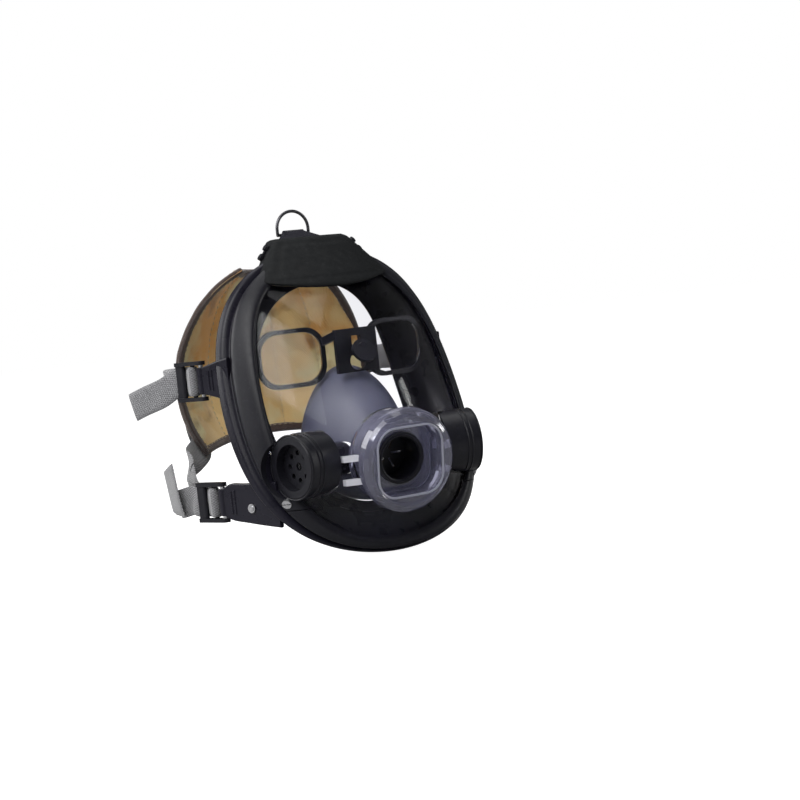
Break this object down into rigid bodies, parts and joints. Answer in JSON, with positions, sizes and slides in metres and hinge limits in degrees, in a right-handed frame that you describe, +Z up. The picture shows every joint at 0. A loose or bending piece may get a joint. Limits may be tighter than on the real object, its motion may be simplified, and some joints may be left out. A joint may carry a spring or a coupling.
{
  "type": "full face respirator",
  "caption": "Full face respirator with a clear lens, rubber seal, regulator port, voice emitters, nose cup, spectacle insert and an adjustable head harness.",
  "frame": {"origin": "centre of the face opening, in the middle of the seal's outline", "axes": "+Z up, front faces -Y, +X is the wearer's left"},
  "size_m": [0.2402, 0.2149, 0.2324],
  "materials": {
    "seal_rubber": "matt",
    "clear_polycarbonate": "clear, polished",
    "spectacle_lens": "clear, polished",
    "black_plastic": "satin",
    "silicone": "smooth, slightly translucent",
    "steel": "satin",
    "webbing": "woven",
    "harness_fabric": "woven aramid"
  },
  "bodies": {
    "facepiece": {"face_seal": "seal_rubber", "lens": "clear_polycarbonate", "upper_bezel": "black_plastic", "lower_bezel": "black_plastic", "brow_cover": "black_plastic", "brow_stud_r": "black_plastic", "brow_stud_l": "black_plastic", "bezel_screw_r": "steel", "bezel_screw_l": "steel", "ring_keeper": "seal_rubber", "port_collar": "clear_polycarbonate", "collar_fins_r": "clear_polycarbonate", "collar_fins_l": "clear_polycarbonate", "port_plate": "clear_polycarbonate", "port_tube": "black_plastic", "port_screen": "black_plastic", "port_gasket": "seal_rubber", "voice_housing_r": "black_plastic", "voice_housing_l": "black_plastic", "voice_grille_r": "black_plastic", "voice_grille_l": "black_plastic", "voice_diaphragm_r": "steel", "voice_diaphragm_l": "steel", "voice_duct_r": "seal_rubber", "voice_duct_l": "seal_rubber", "nose_cup": "silicone", "chin_cup": "seal_rubber", "valve_seat_r": "black_plastic", "valve_seat_l": "black_plastic", "spectacle_bracket": "black_plastic", "temple_lug_r": "seal_rubber", "temple_lug_l": "seal_rubber", "jaw_lug_r": "seal_rubber", "jaw_lug_l": "seal_rubber", "jaw_rivet_r": "steel", "jaw_rivet_l": "steel"},
    "hang_ring": {"hang_ring": "steel"},
    "spectacles": {"spectacle_frame": "black_plastic", "spectacle_lens_r": "spectacle_lens", "spectacle_lens_l": "spectacle_lens"},
    "valve_flap_r": {"valve_flap_r": "silicone"},
    "valve_flap_l": {"valve_flap_l": "silicone"},
    "harness": {"head_harness": "harness_fabric", "temple_strap_r": "webbing", "temple_strap_l": "webbing", "jaw_strap_r": "webbing", "jaw_strap_l": "webbing"},
    "temple_buckle_r": {"temple_buckle_r": "black_plastic", "temple_pin_r": "steel"},
    "temple_tail_r": {"temple_tail_r": "webbing"},
    "temple_buckle_l": {"temple_buckle_l": "black_plastic", "temple_pin_l": "steel"},
    "temple_tail_l": {"temple_tail_l": "webbing"},
    "jaw_buckle_r": {"jaw_buckle_r": "black_plastic", "jaw_pin_r": "steel"},
    "jaw_tail_r": {"jaw_tail_r": "webbing"},
    "jaw_buckle_l": {"jaw_buckle_l": "black_plastic", "jaw_pin_l": "steel"},
    "jaw_tail_l": {"jaw_tail_l": "webbing"}
  },
  "joints": [
    {"name": "hang_ring_swing", "type": "hinge", "parent": "facepiece", "child": "hang_ring", "pos_m": [0, 0.065, 0.1135], "axis": [1, 0, 0], "range_deg": [-80, 75]},
    {"name": "spectacle_slide", "type": "slide", "parent": "facepiece", "child": "spectacles", "axis": [0, 0, 1], "range_m": [-0.003, 0.001]},
    {"name": "harness_slide", "type": "slide", "parent": "facepiece", "child": "harness", "axis": [0, -1, 0], "range_m": [-0.008, 0.02], "deforming": ["temple_strap_r", "temple_strap_l", "jaw_strap_r", "jaw_strap_l"]},
    {"name": "temple_buckle_swing_r", "type": "hinge", "parent": "facepiece", "child": "temple_buckle_r", "pos_m": [-0.09, 0.0458, 0.021], "axis": [0, 0, 1], "range_deg": [-12, 30]},
    {"name": "temple_tail_slide_r", "type": "slide", "parent": "temple_buckle_r", "child": "temple_tail_r", "axis": [-0.5921, 0.6765, -0.4379], "range_m": [-0.008, 0.02], "deforming": ["temple_tail_r"]},
    {"name": "temple_buckle_swing_l", "type": "hinge", "parent": "facepiece", "child": "temple_buckle_l", "pos_m": [0.09, 0.0458, 0.021], "axis": [0, 0, -1], "range_deg": [-12, 30]},
    {"name": "temple_tail_slide_l", "type": "slide", "parent": "temple_buckle_l", "child": "temple_tail_l", "axis": [0.5921, 0.6765, -0.4379], "range_m": [-0.008, 0.02], "deforming": ["temple_tail_l"]},
    {"name": "jaw_buckle_swing_r", "type": "hinge", "parent": "facepiece", "child": "jaw_buckle_r", "pos_m": [-0.0896, 0.0348, -0.06], "axis": [0, 0, 1], "range_deg": [-12, 30]},
    {"name": "jaw_tail_slide_r", "type": "slide", "parent": "jaw_buckle_r", "child": "jaw_tail_r", "axis": [-0.1428, 0.9171, 0.3723], "range_m": [-0.008, 0.02], "deforming": ["jaw_tail_r"]},
    {"name": "jaw_buckle_swing_l", "type": "hinge", "parent": "facepiece", "child": "jaw_buckle_l", "pos_m": [0.0896, 0.0348, -0.06], "axis": [0, 0, -1], "range_deg": [-12, 30]},
    {"name": "jaw_tail_slide_l", "type": "slide", "parent": "jaw_buckle_l", "child": "jaw_tail_l", "axis": [0.1428, 0.9171, 0.3723], "range_m": [-0.008, 0.02], "deforming": ["jaw_tail_l"]},
    {"name": "valve_flap_lift_r", "type": "slide", "parent": "facepiece", "child": "valve_flap_r", "axis": [0.9272, 0.3746, 0], "range_m": [0, 0.0015], "stiffness_N_per_m": 8},
    {"name": "valve_flap_lift_l", "type": "slide", "parent": "facepiece", "child": "valve_flap_l", "axis": [-0.9272, 0.3746, 0], "range_m": [0, 0.0015], "stiffness_N_per_m": 8}
  ],
  "couplings": [
    {"joint": "temple_tail_slide_r", "follows": "harness_slide", "ratio": 1},
    {"joint": "temple_tail_slide_l", "follows": "harness_slide", "ratio": 1},
    {"joint": "jaw_tail_slide_r", "follows": "harness_slide", "ratio": 1},
    {"joint": "jaw_tail_slide_l", "follows": "harness_slide", "ratio": 1}
  ]
}
